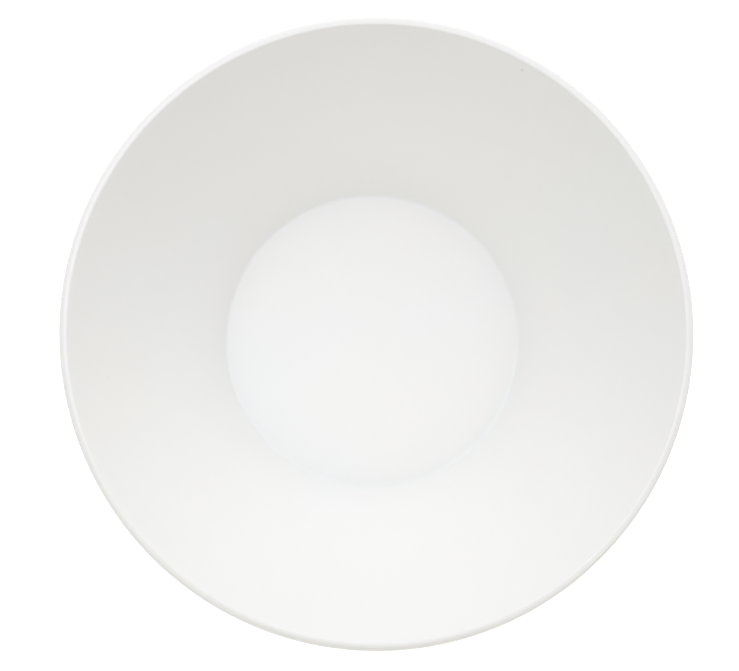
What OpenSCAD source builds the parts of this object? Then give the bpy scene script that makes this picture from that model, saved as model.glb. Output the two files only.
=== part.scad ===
// Conical salad bowl in white porcelain, standing on a foot ring.
// Millimetres. The origin is the middle of the foot ring on the table, with +Z up the axis of the bowl.

/* [Rim and wall] */
// Outside diameter at the lip
rim_d = 240; // [200:1:280]
// Height from the table to the top of the lip
bowl_h = 85; // [70:1:110]
// Width of the lip on top, from the line of the inside wall to the outside
lip_w = 3; // [2.5:0.1:4.5]
// Radius of the inner edge of the lip
lip_inner_r = 1; // [0.7:0.1:1.8]
// Thickness of the wall at the crease of the well
wall_t = 5; // [4:0.1:7]

/* [Well] */
// Diameter of the well inside, at its crease
well_d = 116; // [90:1:140]
// Radius of the crease where the well turns up into the wall
crease_r = 1.8; // [0.8:0.1:4]
// Thickness of the floor at the edge of the well
floor_t = 5.2; // [4:0.1:8]
// Depth of the middle of the well below its edge
well_dish = 0.5; // [0.2:0.1:1.2]

/* [Foot ring] */
// Width of the foot ring at the table
foot_w = 5; // [3.5:0.1:8]
// Step from the heel of the wall in to the foot ring
foot_inset = 4; // [2.5:0.1:8]
// Draft of the sides of the foot ring, in degrees
foot_draft = 8; // [2:1:15]
// Radius of the lower edges of the foot ring
foot_edge_r = 0.8; // [0.7:0.1:1.2]
// Height of the heel of the wall above the table
heel_h = 3.2; // [2.6:0.1:5]
// Radius of the heel
heel_r = 3; // [1:0.1:4]
// Radius of the hollows on both sides of the foot ring
hollow_r = 1.2; // [0.6:0.1:1.8]

/* [Base] */
// Depth of the recess inside the foot ring
recess_h = 4.6; // [3:0.1:6]
// Rise of the middle of the base above the edge of the recess
base_arch = 0.6; // [0.2:0.1:1.2]

/* [Glaze] */
// Thickness of the glaze
glaze_t = 0.3; // [0.2:0.05:0.5]
// Height of the bare band on the foot ring, where the glaze is wiped off
bare_h = 1.2; // [0.8:0.1:1.6]

/* [Hidden] */

body_colour = [0.88, 0.86, 0.82];
glaze_colour = [0.95, 0.95, 0.93];

// Corners of the round faces in one turn, and the least and largest steps along a rounded corner of the section
turn_corners = 180;
least_steps = 8;
step_angle = 7;
// Share of each half of a dished face that is one arc
arc_share = 0.8;

// Unit vectors along a direction and square to its left, and the crossing of two lines
function along(a) = [cos(a), sin(a)];
function left_of(a) = along(a + 90);
function crossing(p, a, q, b) = p + along(a) * cross(q - p, along(b)) / cross(along(a), along(b));

// The section runs outward over the well, up the wall, over the lip, down to the foot ring and in under the base.
// The clay is on its right all the way. A line is a point and a direction.
// A bend is a centre, a radius, and the directions it turns from and to. A hollow bend has a negative radius.
function bend(p, q, r) = [crossing(p[0] - r * left_of(p[1]), p[1], q[0] - r * left_of(q[1]), q[1]), r, p[1], q[1]];
function dished(p, q, half) = bend(p, q, -arc_share * half / tan((q[1] - p[1]) / 2));

well_edge = [well_d / 2, recess_h + floor_t];
mouth_edge = [rim_d / 2 - lip_w, bowl_h];
inside_run = mouth_edge - well_edge;
dish_a = atan(2 * well_dish / well_edge.x);

well_middle = [[0, well_edge.y - well_dish], 0];
well_rise = [well_edge, dish_a];
inside_wall = [well_edge, atan2(inside_run.y, inside_run.x)];

// The lip turns over in two bends that meet on top: a small one inside, and a fuller one that reaches the rim
lip_inner = bend(inside_wall, [mouth_edge, 0], lip_inner_r);
lip_outer_r = rim_d / 2 - lip_inner[0].x;
lip_middle = [lip_inner[0].x, bowl_h - lip_outer_r];
outside_run = lip_middle - well_edge;
outside_a = atan2(outside_run.y, outside_run.x) + asin((wall_t - lip_outer_r) / norm(outside_run)) - 180;
lip_outer = [lip_middle, lip_outer_r, 0, outside_a];
outside_wall = [lip_middle + lip_outer_r * left_of(outside_a), outside_a];
heel_under = [[0, heel_h], -180];

heel_edge = crossing(outside_wall[0], outside_wall[1], heel_under[0], heel_under[1]);
foot_outer = heel_edge.x - foot_inset;
foot_inner = foot_outer - foot_w;
recess_edge = foot_inner - recess_h * tan(foot_draft);
arch_a = atan(2 * base_arch / recess_edge);

foot_outside = [[foot_outer, 0], -90 - foot_draft];
foot_under = [[0, -glaze_t], -180];
foot_inside = [[foot_inner, 0], -270 + foot_draft];
base_rise = [[recess_edge, recess_h], -180 - arch_a];
base_middle = [[0, recess_h + base_arch], -180];

// The glazed surface has no depth, and the clay lies one thickness of glaze below it.
// A bend that carries straight on from another leaves out their shared corner, so it starts at its second one.
function rounded(b, depth, first = 0) =
    let (steps = max(least_steps, ceil(abs(b[3] - b[2]) / step_angle)))
    [for (i = [first:steps]) b[0] + (b[1] - depth) * left_of(b[2] + (b[3] - b[2]) * i / steps)];
function at_height(p, depth, h) = crossing(p[0] - depth * left_of(p[1]), p[1], [0, h], 0);

// Inside, lip and outside, down to the edge of the glaze on the foot ring
function upper_run(depth) = concat(
    [well_middle[0] - [0, depth]],
    rounded(dished(well_middle, well_rise, well_edge.x / 2), depth),
    rounded(bend(well_rise, inside_wall, -crease_r), depth),
    rounded(lip_inner, depth),
    rounded(lip_outer, depth, 1),
    rounded(bend(outside_wall, heel_under, heel_r), depth),
    rounded(bend(heel_under, foot_outside, -hollow_r), depth),
    [at_height(foot_outside, depth, bare_h)]);

// The bare foot ring, down to the table and up again
function foot_run(depth) = concat(
    rounded(bend(foot_outside, foot_under, foot_edge_r), depth),
    rounded(bend(foot_under, foot_inside, foot_edge_r), depth));

// The recess, from the edge of the glaze on the foot ring to the middle of the base
function under_run(depth) = concat(
    [at_height(foot_inside, depth, bare_h)],
    rounded(bend(foot_inside, base_rise, -hollow_r), depth),
    rounded(dished(base_rise, base_middle, recess_edge / 2), depth),
    [base_middle[0] + [0, depth]]);

function reversed(points) = [for (i = [len(points) - 1:-1:0]) points[i]];

module turned(points) {
    rotate_extrude($fn = turn_corners)
        polygon(points);
}

// The fired clay body, bare only round the lower part of the foot ring
module porcelain_body() {
    color(body_colour)
        turned(concat(upper_run(glaze_t), foot_run(glaze_t), under_run(glaze_t)));
}

// The glaze that covers the inside, the lip and the outside in one coat
module glaze_coat() {
    color(glaze_colour)
        turned(concat(upper_run(0), reversed(upper_run(glaze_t))));
}

// The separate patch of glaze in the recess under the base
module base_glaze() {
    color(glaze_colour)
        turned(concat(under_run(0), reversed(under_run(glaze_t))));
}

porcelain_body();
glaze_coat();
base_glaze();
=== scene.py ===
"""White porcelain salad bowl: the turned clay, its glaze and a plain white studio. Lengths are in metres."""

import math

import bpy
from mathutils import Matrix, Vector


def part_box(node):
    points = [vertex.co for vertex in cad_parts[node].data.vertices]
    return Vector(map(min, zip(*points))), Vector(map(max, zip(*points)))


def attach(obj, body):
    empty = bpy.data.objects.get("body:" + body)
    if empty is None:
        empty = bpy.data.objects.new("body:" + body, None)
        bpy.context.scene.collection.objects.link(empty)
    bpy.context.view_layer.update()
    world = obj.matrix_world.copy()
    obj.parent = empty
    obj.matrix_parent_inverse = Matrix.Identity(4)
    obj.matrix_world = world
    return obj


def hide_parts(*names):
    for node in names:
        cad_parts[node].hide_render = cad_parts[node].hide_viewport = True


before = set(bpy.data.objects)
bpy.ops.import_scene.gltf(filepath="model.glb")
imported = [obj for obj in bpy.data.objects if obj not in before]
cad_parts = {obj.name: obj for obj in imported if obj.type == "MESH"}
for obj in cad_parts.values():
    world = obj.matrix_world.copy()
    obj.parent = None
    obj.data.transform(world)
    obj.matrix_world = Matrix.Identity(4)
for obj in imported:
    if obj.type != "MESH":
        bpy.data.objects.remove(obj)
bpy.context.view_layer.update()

# Overall sizes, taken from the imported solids
COAT_LOW, COAT_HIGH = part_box("glaze_coat")
CLAY_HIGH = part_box("porcelain_body")[1]
RIM_RADIUS = min(COAT_HIGH.x, COAT_HIGH.y, -COAT_LOW.x, -COAT_LOW.y)
BOWL_HEIGHT = COAT_HIGH.z
GLAZE_THICKNESS = COAT_HIGH.z - CLAY_HIGH.z
BARE_HEIGHT = COAT_LOW.z

# Wall and well
LIP_WIDTH = 0.003
LIP_INNER_RADIUS = 0.001
WALL_THICKNESS = 0.005
WELL_EDGE = Vector((0.058, 0.0098))
WELL_DISH = 0.0005
CREASE_RADIUS = 0.0018

# Foot ring and base
HEEL_HEIGHT = 0.0032
HEEL_RADIUS = 0.003
FOOT_INSET = 0.004
FOOT_WIDTH = 0.005
FOOT_DRAFT = math.radians(8)
FOOT_EDGE_RADIUS = 0.0008
HOLLOW_RADIUS = 0.0012
RECESS_HEIGHT = 0.0046
BASE_ARCH = 0.0006
DISH_ARC_SHARE = 0.8

# Fineness of the turned meshes
TURN_STEPS = 192
ROUND_STEP = math.radians(8)
PULL_STEP = 0.004
MERGE_DISTANCE = 1e-6
SMOOTH_ANGLE = math.radians(40)

# Photograph: its size, and where the rim lies in it
FRAME_PIXELS = Vector((739, 671))
RIM_PIXELS = 634.8
RIM_MIDDLE_PIXEL = Vector((377.0, 332.8))

# Camera: how far it stands from the rim and how far it leans, with its sensor in millimetres
CAMERA_DISTANCE = 1.4
CAMERA_TILT = math.radians(3.05)
CAMERA_SWING = math.radians(27)
SENSOR_WIDTH = 36.0

# Colours, as linear light
GLAZE_COOL = (0.877, 0.881, 0.875, 1)
GLAZE_WARM = (0.886, 0.881, 0.867, 1)
GLAZE_POOLED = (0.873, 0.878, 0.871, 1)
# The lip: thinner glaze, darkened further by painted shade
GLAZE_THIN_AND_SHADE = (0.853, 0.851, 0.842, 1)
IRON = (0.3, 0.26, 0.21, 1)
CLAY_LIGHT = (0.83, 0.8, 0.745, 1)
CLAY_DARK = (0.74, 0.7, 0.635, 1)
CLAY_SMUDGE = (0.56, 0.54, 0.5, 1)
FLOOR = (0.94, 0.94, 0.94, 1)
PAPER_WHITE = (1, 1, 1, 1)

# Part of the range of soft noise over which a colour goes from one to the other
NOISE_LOW = 0.3
NOISE_HIGH = 0.7

# Glaze: lumps to the metre of its tone and gloss, how far the lip's thinner glaze and painted shade fade in,
# and how far it pools in a hollow
TONE_SCALE = 16.0
GLOSS_SCALE = 70.0
GLAZE_ROUGHNESS = 0.05
GLAZE_ROUGHNESS_SPREAD = 0.05
GLAZE_REFRACTION = 1.5
LIP_FADE = 0.0004
LIP_ROUGHNESS = 0.04
POOL_CORE = 0.001
POOL_REACH = 0.004

# Ripples in the glaze, broad and fine: lumps to the metre and depth
RIPPLE_SCALE = 42.0
RIPPLE_DEPTH = 6e-5
FINE_RIPPLE_SCALE = 420.0
FINE_RIPPLE_DEPTH = 4e-6

# Iron specks: sparse ones all over, and those seen in the photograph by place, radius and strength
SPECK_SCALE = 30.0
SPECK_RADIUS = 0.0003
SEEN_SPECKS = [
    ((0.0552, 0.09995, 0.0817), 0.0009, 0.17),
    ((0.0322, 0.0598, 0.0225), 0.0005, 0.07),
    ((-0.1022, -0.0165, 0.0679), 0.0005, 0.07),
]

# Bare clay: lumps of grain to the metre, the depth of the grain, and how rough the clay is
GRAIN_SCALE = 1400.0
GRAIN_DEPTH = 3e-5
CLAY_ROUGHNESS = 0.72
CLAY_ROUGHNESS_SPREAD = 0.2

# Sanding rings on the standing face, which wander a little and fade out up the sides of the foot ring
SANDING_PITCH = 0.00045
SANDING_DEPTH = 8e-6
SANDED_BELOW = 0.0001
SANDED_UP_TO = 0.0004
WANDER_SCALE = 160.0
WANDER_WIDTH = 0.0004

# Smudges from tables on the standing face
SMUDGE_SCALE = 90.0
SMUDGE_LOW = 0.5
SMUDGE_HIGH = 0.75
SMUDGED_UP_TO = 0.0005
SMUDGE_STRENGTH = 0.6

# Studio lamps: each softbox by compass angle from +X and rise in degrees, width, watts and colour
LAMP_DISTANCE = 2.0
LAMP_AIM = Vector((0, 0, 0.05))
DAYLIGHT = (0.966, 1, 1.21)
LAMPLIGHT = (0.99, 1, 0.69)
PLAIN_LIGHT = (1, 1, 0.96)
SOFTBOXES = {
    "back_left_softbox": (145, 62, 1.2, 8.2, DAYLIGHT),
    "back_right_softbox": (43, 62, 1.2, 2.05, DAYLIGHT),
    "front_left_softbox": (225, 35, 1.2, 4.3, LAMPLIGHT),
    "front_right_softbox": (315, 35, 1.2, 4.95, PLAIN_LIGHT),
}

# Studio room: its even light, a broad window behind the bowl, and the table's glow to the camera
ROOM = (0.44, 0.424, 0.408, 1)
WINDOW = (1.99, 2.01, 1.905, 1)
WINDOW_COMPASS = math.radians(80)
WINDOW_RISE = math.radians(40)
WINDOW_NARROWNESS = 6.0
FLOOR_WIDTH = 8
FLOOR_GLOW = 0.43

# Sockets of a Mix node that carry colours
MIX_SHARE = 0
MIX_COLOUR = 6
MIX_OTHER = 7
MIX_RESULT = 2


class Shade:
    """An output in a node tree. Python's operators on it add Math nodes, and node() adds any other node."""

    def __init__(self, tree, socket=None):
        self.tree = tree
        self.socket = socket

    def node(self, kind, settings, sockets, output=0):
        """Adds a node with its settings and the values or links of its sockets, and gives one output."""
        made = self.tree.nodes.new(kind)
        for name, value in settings.items():
            setattr(made, name, value)
        for name, value in sockets.items():
            if isinstance(value, Shade):
                self.tree.links.new(value.socket, made.inputs[name])
            else:
                made.inputs[name].default_value = value
        return Shade(self.tree, made.outputs[output] if made.outputs else None)

    def math(self, operation, first, second):
        return self.node("ShaderNodeMath", {"operation": operation}, {0: first, 1: second})

    def __add__(self, other):
        return self.math("ADD", self, other)

    def __radd__(self, other):
        return self.math("ADD", other, self)

    def __mul__(self, other):
        return self.math("MULTIPLY", self, other)

    def __rmul__(self, other):
        return self.math("MULTIPLY", other, self)


def new_finish(name):
    """A material with an empty node tree, and the start of its shading."""
    material = bpy.data.materials.new(name)
    material.use_nodes = True
    material.node_tree.nodes.clear()
    return material, Shade(material.node_tree)


def cloud(shade, place, scale, detail=2.0):
    """Soft noise from 0 to 1, with so many lumps to the metre."""
    return shade.node("ShaderNodeTexNoise", {}, {"Vector": place, "Scale": scale, "Detail": detail})


def eased(shade, value, low, high):
    """Rises smoothly from 0 at low to 1 at high, or falls where low is the greater."""
    return shade.node("ShaderNodeMapRange", {"interpolation_type": "SMOOTHSTEP"},
                      {"Value": value, "From Min": low, "From Max": high})


def blended(shade, share, colour, other):
    """A colour with a share of another in it."""
    return shade.node("ShaderNodeMix", {"data_type": "RGBA"},
                      {MIX_SHARE: share, MIX_COLOUR: colour, MIX_OTHER: other}, MIX_RESULT)


def vector(shade, operation, first, second=(0, 0, 0), output=0):
    return shade.node("ShaderNodeVectorMath", {"operation": operation}, {0: first, 1: second}, output)


def on_section(shade, place):
    """Distance from the bowl's axis, height, and both as the X and Z of a place on the section."""
    flat = vector(shade, "MULTIPLY", place, (1, 1, 0))
    out = vector(shade, "LENGTH", flat, output="Value")
    height = shade.node("ShaderNodeSeparateXYZ", {}, {0: place}, "Z")
    return out, height, shade.node("ShaderNodeCombineXYZ", {}, {"X": out, "Z": height})


def ring_distance(shade, section, point):
    """How far a place lies from a ring round the bowl, which is given as a point of its section."""
    return vector(shade, "DISTANCE", section, (point.x, 0, point.y), "Value")


def iron_specks(shade, place):
    """Sparse pinpoints of iron, and the few faint ones that the photograph shows."""
    nearest = shade.node("ShaderNodeTexVoronoi", {}, {"Vector": place, "Scale": SPECK_SCALE})
    specks = eased(shade, nearest, SPECK_RADIUS * SPECK_SCALE, SPECK_RADIUS * SPECK_SCALE / 2)
    for point, radius, strength in SEEN_SPECKS:
        seen = vector(shade, "DISTANCE", place, point, "Value")
        specks = shade.math("MAXIMUM", specks, strength * eased(shade, seen, radius, radius / 2))
    return specks


def glaze_finish():
    """White glaze: slow clouds of tone, cooler in the hollows, darker on the lip from thinner glaze and
    painted shade, with iron specks.
    """
    material, shade = new_finish("porcelain_glaze")
    place = shade.node("ShaderNodeTexCoord", {}, {}, "Object")
    out, _, section = on_section(shade, place)
    warmth = eased(shade, cloud(shade, place, TONE_SCALE), NOISE_LOW, NOISE_HIGH)
    colour = blended(shade, warmth, GLAZE_COOL, GLAZE_WARM)
    lip = eased(shade, out, LIP_TURN - LIP_FADE, LIP_TURN + LIP_FADE)
    # The lip turns darker: partly thinner glaze, partly painted shade
    colour = blended(shade, lip, colour, GLAZE_THIN_AND_SHADE)
    for hollow in (CREASE, OUTER_HOLLOW, INNER_HOLLOW):
        pooled = eased(shade, ring_distance(shade, section, hollow[0]), POOL_REACH, POOL_CORE)
        colour = blended(shade, pooled, colour, GLAZE_POOLED)
    colour = blended(shade, iron_specks(shade, place), colour, IRON)
    gloss = GLAZE_ROUGHNESS + GLAZE_ROUGHNESS_SPREAD * cloud(shade, place, GLOSS_SCALE)
    roughness = gloss + LIP_ROUGHNESS * lip
    broad = RIPPLE_DEPTH * cloud(shade, place, RIPPLE_SCALE, detail=0.0)
    fine = FINE_RIPPLE_DEPTH * cloud(shade, place, FINE_RIPPLE_SCALE, detail=1.0)
    normal = shade.node("ShaderNodeBump", {}, {"Height": broad + fine, "Distance": 1.0})
    surface = shade.node("ShaderNodeBsdfPrincipled", {},
                         {"Base Color": colour, "Roughness": roughness, "IOR": GLAZE_REFRACTION,
                          "Normal": normal})
    shade.node("ShaderNodeOutputMaterial", {}, {"Surface": surface})
    return material


def clay_finish():
    """Bare clay: matt and grainy, sanded in rings on the standing face and smudged grey by tables."""
    material, shade = new_finish("bare_clay")
    place = shade.node("ShaderNodeTexCoord", {}, {}, "Object")
    out, height, _ = on_section(shade, place)
    grain = cloud(shade, place, GRAIN_SCALE, detail=3.0)
    wavy = out + WANDER_WIDTH * cloud(shade, place, WANDER_SCALE)
    rings = shade.math("SINE", wavy * (2 * math.pi / SANDING_PITCH), 0.0)
    sanded = rings * eased(shade, height, SANDED_UP_TO, SANDED_BELOW)
    colour = blended(shade, eased(shade, grain, NOISE_LOW, NOISE_HIGH), CLAY_DARK, CLAY_LIGHT)
    patches = eased(shade, cloud(shade, place, SMUDGE_SCALE, detail=4.0), SMUDGE_LOW, SMUDGE_HIGH)
    smudge = patches * eased(shade, height, SMUDGED_UP_TO, 0.0)
    colour = blended(shade, SMUDGE_STRENGTH * smudge, colour, CLAY_SMUDGE)
    roughness = CLAY_ROUGHNESS + CLAY_ROUGHNESS_SPREAD * grain
    tooth = GRAIN_DEPTH * grain + SANDING_DEPTH * sanded
    normal = shade.node("ShaderNodeBump", {}, {"Height": tooth, "Distance": 1.0})
    surface = shade.node("ShaderNodeBsdfPrincipled", {},
                         {"Base Color": colour, "Roughness": roughness, "Normal": normal})
    shade.node("ShaderNodeOutputMaterial", {}, {"Surface": surface})
    return material


def seen_rays(shade):
    """1 for what the camera sees straight, in a reflection or through glass, and 0 for light on surfaces."""
    camera, glossy, through = [shade.node("ShaderNodeLightPath", {}, {}, name)
                               for name in ("Is Camera Ray", "Is Glossy Ray", "Is Transmission Ray")]
    return shade.math("MAXIMUM", shade.math("MAXIMUM", camera, glossy), through)


def floor_finish():
    """Pale and matt under the bowl, and white with a light shadow to the camera."""
    material, shade = new_finish("white_table")
    matt = shade.node("ShaderNodeBsdfDiffuse", {}, {"Color": FLOOR})
    strength = seen_rays(shade) * FLOOR_GLOW
    glow = shade.node("ShaderNodeEmission", {}, {"Color": PAPER_WHITE, "Strength": strength})
    surface = shade.node("ShaderNodeAddShader", {}, {0: matt, 1: glow})
    shade.node("ShaderNodeOutputMaterial", {}, {"Surface": surface})
    return material


# The section of the bowl runs outward over the well, up the wall, over the lip, down to the foot ring and
# in under the base, with the clay on its right. A line is a point and a direction. A bend is a centre, a
# radius and the directions that it turns from and to, and a hollow bend has a negative radius.


def along(angle):
    """The unit vector in a direction."""
    return Vector((math.cos(angle), math.sin(angle)))


def left_of(angle):
    """The unit vector square to a direction, on its left."""
    return along(angle + math.pi / 2)


def crossing(line, other):
    """The point where two lines cross."""
    (p, a), (q, b) = line, other
    return p + along(a) * ((q - p).cross(along(b)) / along(a).cross(along(b)))


def shifted(line, depth):
    """A line moved to its right, into the clay."""
    return line[0] - depth * left_of(line[1]), line[1]


def bend(line, following, radius):
    """The bend that leads from one line into the next."""
    return crossing(shifted(line, radius), shifted(following, radius)), radius, line[1], following[1]


def dished(line, following, half):
    """The long bend of a dished face, whose lines cross halfway out."""
    return bend(line, following, -DISH_ARC_SHARE * half / math.tan((following[1] - line[1]) / 2))


def corner(point):
    """A plain corner of a section, as a bend of no size."""
    return point, 0.0, 0.0, 0.0


def glaze_end(line, turn):
    """The rounded edge of the glaze on a side of the foot ring, from its surface round to the clay."""
    middle = shifted(line, GLAZE_THICKNESS / 2)
    centre = crossing(middle, (Vector((0, BARE_HEIGHT + GLAZE_THICKNESS / 2)), 0.0))
    return centre, GLAZE_THICKNESS / 2, line[1], line[1] + turn


# The well and the inside of the wall
WELL_MIDDLE = (Vector((0, WELL_EDGE.y - WELL_DISH)), 0.0)
WELL_RISE = (WELL_EDGE, math.atan(2 * WELL_DISH / WELL_EDGE.x))
MOUTH_EDGE = Vector((RIM_RADIUS - LIP_WIDTH, BOWL_HEIGHT))
INSIDE_RUN = MOUTH_EDGE - WELL_EDGE
INSIDE_ANGLE = math.atan2(INSIDE_RUN.y, INSIDE_RUN.x)
INSIDE_WALL = (WELL_EDGE, INSIDE_ANGLE)

# The lip turns over in two bends that meet on top: a small one inside, and a fuller one out to the rim
LIP_INNER = bend(INSIDE_WALL, (MOUTH_EDGE, 0.0), LIP_INNER_RADIUS)
LIP_TURN = (LIP_INNER[0] + LIP_INNER_RADIUS * left_of(INSIDE_ANGLE)).x
LIP_OUTER_RADIUS = RIM_RADIUS - LIP_INNER[0].x
LIP_MIDDLE = Vector((LIP_INNER[0].x, BOWL_HEIGHT - LIP_OUTER_RADIUS))
OUTSIDE_RUN = LIP_MIDDLE - WELL_EDGE
OUTSIDE_ANGLE = (math.atan2(OUTSIDE_RUN.y, OUTSIDE_RUN.x)
                 + math.asin((WALL_THICKNESS - LIP_OUTER_RADIUS) / OUTSIDE_RUN.length) - math.pi)
LIP_OUTER = (LIP_MIDDLE, LIP_OUTER_RADIUS, 0.0, OUTSIDE_ANGLE)
OUTSIDE_WALL = (LIP_MIDDLE + LIP_OUTER_RADIUS * left_of(OUTSIDE_ANGLE), OUTSIDE_ANGLE)

# The heel, the foot ring and the recess under the base
HEEL_UNDER = (Vector((0, HEEL_HEIGHT)), -math.pi)
FOOT_OUTER = crossing(OUTSIDE_WALL, HEEL_UNDER).x - FOOT_INSET
FOOT_INNER = FOOT_OUTER - FOOT_WIDTH
RECESS_EDGE = FOOT_INNER - RECESS_HEIGHT * math.tan(FOOT_DRAFT)
FOOT_OUTSIDE = (Vector((FOOT_OUTER, 0)), -math.pi / 2 - FOOT_DRAFT)
FOOT_UNDER = (Vector((0, -GLAZE_THICKNESS)), -math.pi)
FOOT_INSIDE = (Vector((FOOT_INNER, 0)), -3 * math.pi / 2 + FOOT_DRAFT)
BASE_RISE = (Vector((RECESS_EDGE, RECESS_HEIGHT)), -math.pi - math.atan(2 * BASE_ARCH / RECESS_EDGE))
BASE_MIDDLE = (Vector((0, RECESS_HEIGHT + BASE_ARCH)), -math.pi)

# The bends of the glazed surface, in three runs: down to the foot ring, round it, and in under the base
CREASE = bend(WELL_RISE, INSIDE_WALL, -CREASE_RADIUS)
OUTER_HOLLOW = bend(HEEL_UNDER, FOOT_OUTSIDE, -HOLLOW_RADIUS)
INNER_HOLLOW = bend(FOOT_INSIDE, BASE_RISE, -HOLLOW_RADIUS)
UPPER_BENDS = [
    dished(WELL_MIDDLE, WELL_RISE, WELL_EDGE.x / 2),
    CREASE,
    LIP_INNER,
    LIP_OUTER,
    bend(OUTSIDE_WALL, HEEL_UNDER, HEEL_RADIUS),
    OUTER_HOLLOW,
]
FOOT_BENDS = [
    bend(FOOT_OUTSIDE, FOOT_UNDER, FOOT_EDGE_RADIUS),
    bend(FOOT_UNDER, FOOT_INSIDE, FOOT_EDGE_RADIUS),
]
UNDER_BENDS = [
    INNER_HOLLOW,
    dished(BASE_RISE, BASE_MIDDLE, RECESS_EDGE / 2),
]


def sunk(bends, depth):
    """The same bends on a surface that lies deeper in the clay."""
    return [(centre, radius - depth, start, end) for centre, radius, start, end in bends]


def backward(bends):
    """The same bends, followed the other way."""
    return [(centre, radius, end, start) for centre, radius, start, end in reversed(bends)]


def turned_piece(name, section):
    """Draws a section as one point pulled and spun along its bends, and turns it about the bowl's axis."""
    bpy.ops.object.select_all(action="DESELECT")
    here = section[0][0]
    bpy.ops.mesh.primitive_plane_add(size=PULL_STEP, location=(here.x, 0, here.y))
    piece = bpy.context.active_object
    piece.name = name
    bpy.ops.object.transform_apply()
    bpy.ops.object.mode_set(mode="EDIT")
    bpy.ops.mesh.merge(type="CENTER")
    for centre, radius, start, end in section:
        pull = centre + radius * left_of(start) - here
        pulls = math.ceil((pull.length - MERGE_DISTANCE) / PULL_STEP)
        for _ in range(pulls):
            step = (pull.x / pulls, 0, pull.y / pulls)
            bpy.ops.mesh.extrude_region_move(TRANSFORM_OT_translate={"value": step})
        here = centre + radius * left_of(end)
        if start != end:
            by_angle = math.ceil(abs(end - start) / ROUND_STEP)
            by_length = math.ceil(abs(radius * (end - start)) / PULL_STEP)
            bpy.ops.mesh.spin(steps=max(by_angle, by_length), angle=end - start,
                              center=(centre.x, 0, centre.y), axis=(0, 1, 0))
    bpy.ops.mesh.select_all(action="SELECT")
    bpy.ops.mesh.spin(steps=TURN_STEPS, angle=2 * math.pi, center=(0, 0, 0), axis=(0, 0, 1))
    bpy.ops.mesh.select_all(action="SELECT")
    bpy.ops.mesh.remove_doubles(threshold=MERGE_DISTANCE)
    bpy.ops.mesh.normals_make_consistent(inside=False)
    bpy.ops.object.mode_set(mode="OBJECT")
    bpy.ops.object.shade_smooth_by_angle(angle=SMOOTH_ANGLE)
    return piece


def glaze_coat():
    """The glaze from the middle of the well over the lip to the foot ring."""
    inner = sunk(UPPER_BENDS, GLAZE_THICKNESS)
    top = WELL_MIDDLE[0]
    section = [corner(top), *UPPER_BENDS, glaze_end(FOOT_OUTSIDE, -math.pi), *backward(inner),
               corner(top - Vector((0, GLAZE_THICKNESS)))]
    return turned_piece("glaze_skin", section)


def base_glaze():
    """The glaze in the recess, from the middle of the base to the foot ring."""
    inner = sunk(UNDER_BENDS, GLAZE_THICKNESS)
    under = BASE_MIDDLE[0]
    section = [corner(under), *backward(UNDER_BENDS), glaze_end(FOOT_INSIDE, math.pi), *inner,
               corner(under + Vector((0, GLAZE_THICKNESS)))]
    return turned_piece("base_glaze_skin", section)


def clay_body():
    """The clay, one thickness of glaze below the glazed surface all round."""
    depth = Vector((0, GLAZE_THICKNESS))
    bends = sunk(UPPER_BENDS + FOOT_BENDS + UNDER_BENDS, GLAZE_THICKNESS)
    section = [corner(WELL_MIDDLE[0] - depth), *bends, corner(BASE_MIDDLE[0] + depth)]
    return turned_piece("clay_body", section)


def finished(piece, node, finish):
    """Dresses a piece and lets it stand for its node."""
    piece.data.materials.append(finish)
    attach(piece, "root")
    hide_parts(node)


def make_bowl():
    glaze = glaze_finish()
    finished(clay_body(), "porcelain_body", clay_finish())
    finished(glaze_coat(), "glaze_coat", glaze)
    finished(base_glaze(), "base_glaze", glaze)


def make_floor():
    bpy.ops.object.select_all(action="DESELECT")
    bpy.ops.mesh.primitive_plane_add(size=FLOOR_WIDTH)
    floor = bpy.context.active_object
    floor.name = "table"
    floor.data.materials.append(floor_finish())


def toward(compass, rise):
    """The unit vector to a place in the room, by its compass angle and its rise."""
    level = along(compass) * math.cos(rise)
    return Vector((level.x, level.y, math.sin(rise)))


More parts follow.
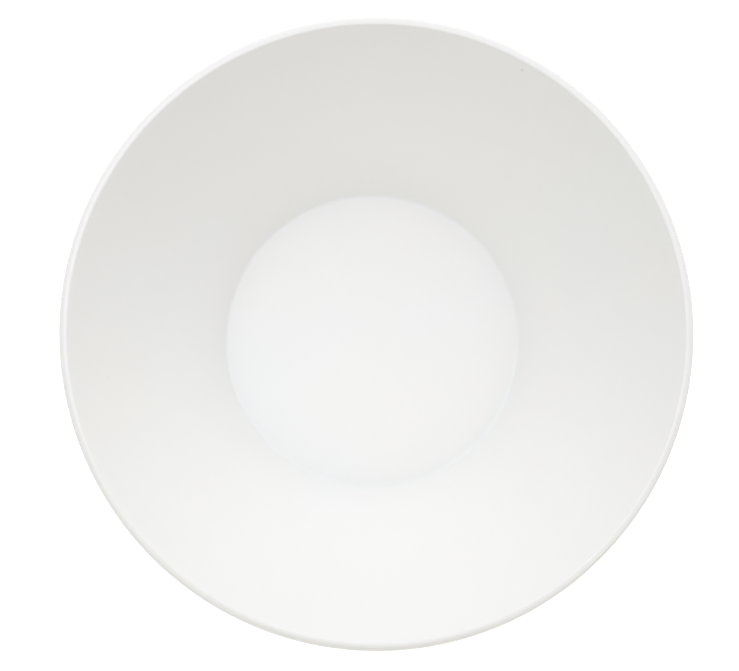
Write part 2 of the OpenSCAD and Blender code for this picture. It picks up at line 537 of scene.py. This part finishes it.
def make_lights():
    """Two softboxes high behind the bowl, and two lower and warmer ones in front of it."""
    for name, (compass, rise, width, watts, colour) in SOFTBOXES.items():
        way = toward(math.radians(compass), math.radians(rise))
        bpy.ops.object.light_add(type="AREA", location=LAMP_AIM + way * LAMP_DISTANCE)
        lamp = bpy.context.active_object
        lamp.name = name
        lamp.rotation_euler = way.to_track_quat("Z", "Y").to_euler()
        lamp.data.size = width
        lamp.data.energy = watts
        lamp.data.color = colour


def make_world():
    """White to the camera, and soft light on the bowl from an even room with a broad window."""
    world = bpy.data.worlds.new("studio")
    bpy.context.scene.world = world
    world.use_nodes = True
    world.node_tree.nodes.clear()
    shade = Shade(world.node_tree)
    way = shade.node("ShaderNodeTexCoord", {}, {}, "Generated")
    facing = vector(shade, "DOT_PRODUCT", way, toward(WINDOW_COMPASS, WINDOW_RISE), "Value")
    window = shade.math("POWER", shade.math("MAXIMUM", facing, 0.0), WINDOW_NARROWNESS)
    seen = blended(shade, seen_rays(shade), blended(shade, window, ROOM, WINDOW), PAPER_WHITE)
    surface = shade.node("ShaderNodeBackground", {}, {"Color": seen, "Strength": 1.0})
    shade.node("ShaderNodeOutputWorld", {}, {"Surface": surface})


def make_camera():
    """Almost straight above the bowl, a little to the front left, with the far rim to the top."""
    bpy.ops.object.camera_add()
    camera = bpy.context.active_object
    camera.name = "photo_camera"
    metres_per_pixel = 2 * RIM_RADIUS / RIM_PIXELS
    off_centre = (RIM_MIDDLE_PIXEL - FRAME_PIXELS / 2) * metres_per_pixel
    aim = Vector((-off_centre.x, off_centre.y, LIP_MIDDLE.y))
    back = Vector((-math.sin(CAMERA_TILT) * math.sin(CAMERA_SWING),
                   -math.sin(CAMERA_TILT) * math.cos(CAMERA_SWING), math.cos(CAMERA_TILT)))
    right = Vector((0, 1, 0)).cross(back).normalized()
    turn = Matrix((right, back.cross(right), back)).transposed()
    camera.matrix_world = Matrix.Translation(aim + back * CAMERA_DISTANCE) @ turn.to_4x4()
    camera.data.sensor_width = SENSOR_WIDTH
    camera.data.lens = SENSOR_WIDTH * CAMERA_DISTANCE / (FRAME_PIXELS.x * metres_per_pixel)
    bpy.context.scene.camera = camera


make_bowl()
make_floor()
make_lights()
make_world()
make_camera()
bpy.context.scene.view_settings.view_transform = "Standard"
